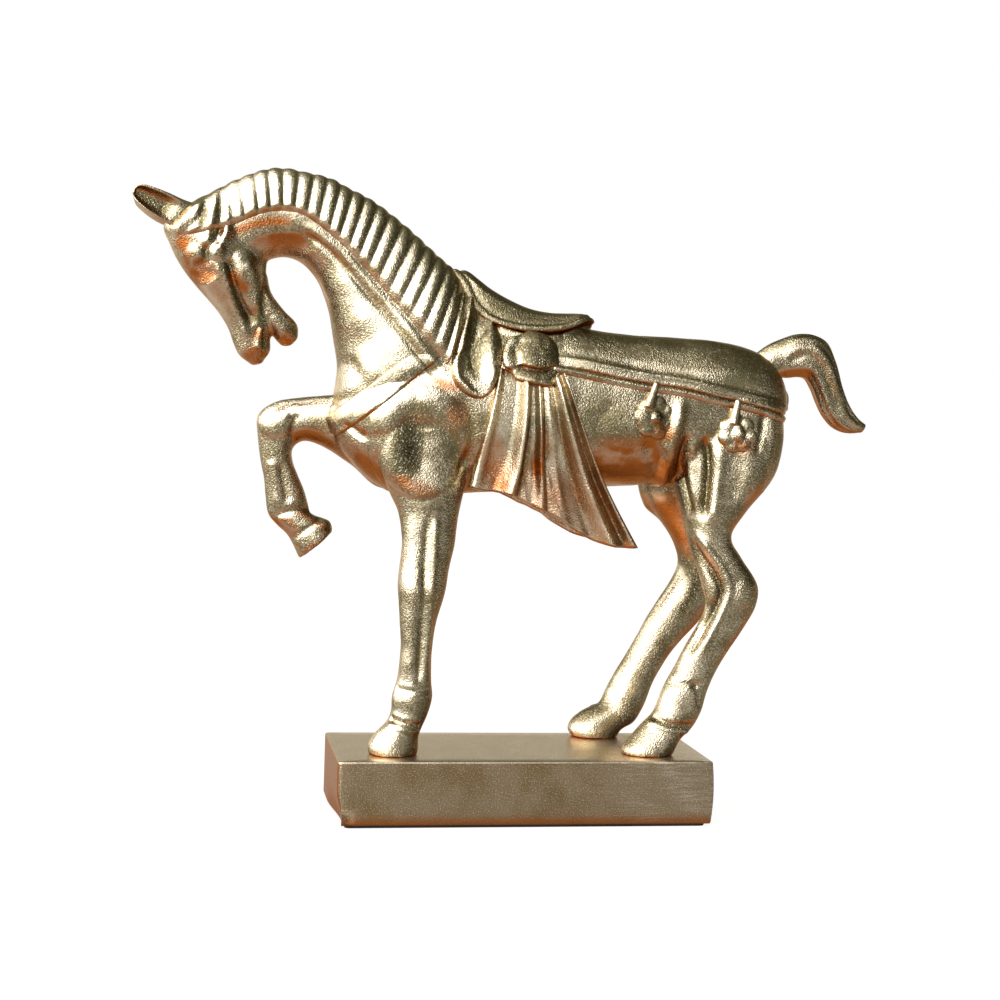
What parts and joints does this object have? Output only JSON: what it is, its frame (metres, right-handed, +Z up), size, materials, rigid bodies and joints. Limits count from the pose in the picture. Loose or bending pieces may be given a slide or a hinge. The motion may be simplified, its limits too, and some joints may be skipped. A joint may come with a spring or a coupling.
{
  "type": "horse figurine",
  "caption": "Cast metal horse ornament with arched neck, ribbed mane, saddle, draped cloths and one raised foreleg, screwed to a solid rectangular metal block with a felt pad below",
  "frame": {"origin": "centre of the flat underside, on the surface that the ornament stands on", "axes": "+Z up, the horse faces -X along its longest extent, +Y is its width from the near side to the far side"},
  "size_m": [0.2863, 0.0643, 0.2405],
  "materials": {
    "cast_metal": "sand cast, buffed, pale champagne gold",
    "trim_metal": "sand cast, buffed, pale champagne gold",
    "block_metal": "linished with fine file marks, pale champagne gold",
    "screw_steel": "plain",
    "felt": "thin dark felt"
  },
  "bodies": {
    "root": {"base_block": "block_metal", "felt_pad": "felt", "near_foreleg_screw": "screw_steel", "near_hind_leg_screw": "screw_steel", "far_hind_leg_screw": "screw_steel", "torso": "cast_metal", "neck": "cast_metal", "head": "cast_metal", "near_foreleg": "cast_metal", "raised_foreleg": "cast_metal", "near_hind_leg": "cast_metal", "far_hind_leg": "cast_metal", "tail": "cast_metal", "mane": "cast_metal", "saddle": "trim_metal", "rump_cloth": "trim_metal", "breast_strap": "trim_metal", "near_ear": "cast_metal", "far_ear": "cast_metal", "near_saddle_flap": "trim_metal", "far_saddle_flap": "trim_metal", "near_cloth_knot": "trim_metal", "far_cloth_knot": "trim_metal", "near_drape": "trim_metal", "far_drape": "trim_metal", "near_hem_cord": "trim_metal", "far_hem_cord": "trim_metal", "near_front_pendant": "trim_metal", "far_front_pendant": "trim_metal", "near_rear_pendant": "trim_metal", "far_rear_pendant": "trim_metal"}
  },
  "joints": []
}
